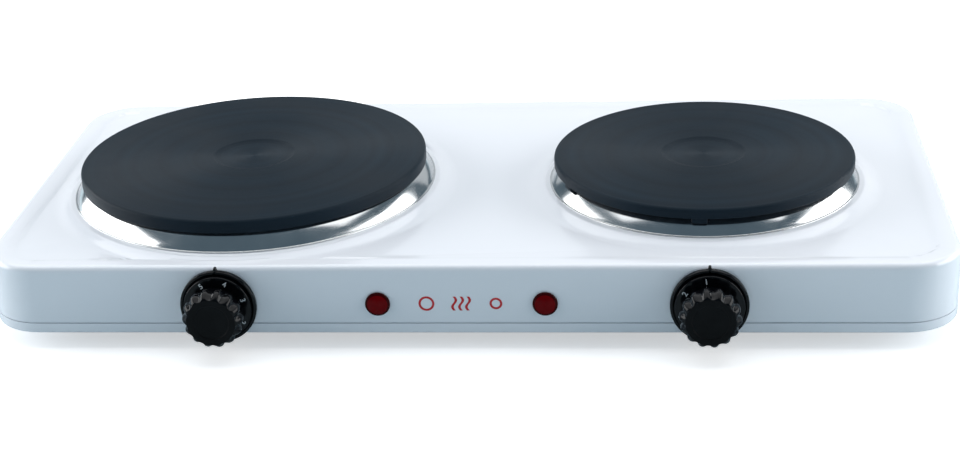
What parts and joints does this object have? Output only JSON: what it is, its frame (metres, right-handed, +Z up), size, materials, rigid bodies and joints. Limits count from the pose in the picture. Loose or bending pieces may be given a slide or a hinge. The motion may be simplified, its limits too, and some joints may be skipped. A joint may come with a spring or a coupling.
{
  "type": "double electric hot plate",
  "caption": "Low rectangular table-top hot plate with a large and a small cast-iron cooking plate, front thermostat knobs and red pilot lamps.",
  "frame": {"origin": "on the table under the middle of the whole object, knobs and cable gland included", "axes": "+X to the right along the front, +Y from the knobs to the back, +Z up"},
  "size_m": [0.483, 0.2594, 0.062],
  "materials": {
    "white_enamel": "smooth glossy white enamel on pressed steel",
    "zinc_steel": "zinc-plated steel",
    "foot_rubber": "matt black rubber",
    "cast_iron": "turned cast iron, satin slate coating",
    "polished_steel": "polished stainless steel",
    "heating_wire": "oxidised nickel-chrome wire",
    "cement": "dry insulating cement",
    "steatite": "unglazed steatite",
    "bakelite": "glossy moulded black phenolic",
    "cam_resin": "moulded glass-filled resin",
    "brass": "rolled brass",
    "red_lens": "clear dark red polycarbonate",
    "bulb_glass": "clear glass",
    "black_nylon": "moulded black nylon",
    "red_lead": "silicone-insulated lead",
    "brown_lead": "silicone-insulated lead"
  },
  "bodies": {
    "housing": {"top_housing": "white_enamel", "base_pan": "white_enamel", "fixing_brackets": "zinc_steel", "pan_screws": "zinc_steel", "foot_front_left": "foot_rubber", "foot_front_right": "foot_rubber", "foot_rear_left": "foot_rubber", "foot_rear_right": "foot_rubber", "foot_screws": "zinc_steel", "left_hotplate": "cast_iron", "right_hotplate": "cast_iron", "left_trim_ring": "polished_steel", "right_trim_ring": "polished_steel", "left_heating_coils": "heating_wire", "right_heating_coils": "heating_wire", "left_coil_cement": "cement", "right_coil_cement": "cement", "left_heat_shield": "zinc_steel", "right_heat_shield": "zinc_steel", "left_plate_stud": "zinc_steel", "right_plate_stud": "zinc_steel", "left_clamp_bar": "zinc_steel", "right_clamp_bar": "zinc_steel", "left_stud_nuts": "zinc_steel", "right_stud_nuts": "zinc_steel", "left_heater_block": "steatite", "right_heater_block": "steatite", "left_heater_pins": "zinc_steel", "right_heater_pins": "zinc_steel", "left_dial_plate": "bakelite", "right_dial_plate": "bakelite", "left_thermostat_frame": "zinc_steel", "right_thermostat_frame": "zinc_steel", "left_thermostat_base": "steatite", "right_thermostat_base": "steatite", "left_fixed_contact": "brass", "right_fixed_contact": "brass", "thermostat_screws": "zinc_steel", "left_lamp_lens": "red_lens", "right_lamp_lens": "red_lens", "left_neon_bulb": "bulb_glass", "right_neon_bulb": "bulb_glass", "lamp_clips": "zinc_steel", "cable_gland": "black_nylon", "gland_nut": "black_nylon", "mains_terminal_block": "steatite", "terminal_screws": "brass", "earth_screw": "brass", "left_heater_leads": "red_lead", "right_heater_leads": "red_lead", "supply_leads": "brown_lead"},
    "left_knob": {"left_knob": "bakelite", "left_thermostat_shaft": "zinc_steel", "left_cam": "cam_resin"},
    "left_lever": {"left_contact_lever": "brass"},
    "right_knob": {"right_knob": "bakelite", "right_thermostat_shaft": "zinc_steel", "right_cam": "cam_resin"},
    "right_lever": {"right_contact_lever": "brass"}
  },
  "joints": [
    {"name": "left_knob_turn", "type": "hinge", "parent": "housing", "child": "left_knob", "pos_m": [-0.12, -0.11925, 0.0246], "axis": [0, 1, 0], "range_deg": [-220, 30]},
    {"name": "left_lever_swing", "type": "hinge", "parent": "housing", "child": "left_lever", "pos_m": [-0.11375, -0.09925, 0.0341], "axis": [0, -1, 0], "range_deg": [-7.9, 1.08]},
    {"name": "right_knob_turn", "type": "hinge", "parent": "housing", "child": "right_knob", "pos_m": [0.12, -0.11925, 0.0246], "axis": [0, 1, 0], "range_deg": [-43, 207]},
    {"name": "right_lever_swing", "type": "hinge", "parent": "housing", "child": "right_lever", "pos_m": [0.12625, -0.09925, 0.0341], "axis": [0, -1, 0], "range_deg": [-1.55, 7.43]}
  ],
  "couplings": [
    {"joint": "left_lever_swing", "follows": "left_knob_turn", "ratio": 0.035891},
    {"joint": "right_lever_swing", "follows": "right_knob_turn", "ratio": 0.035891}
  ]
}
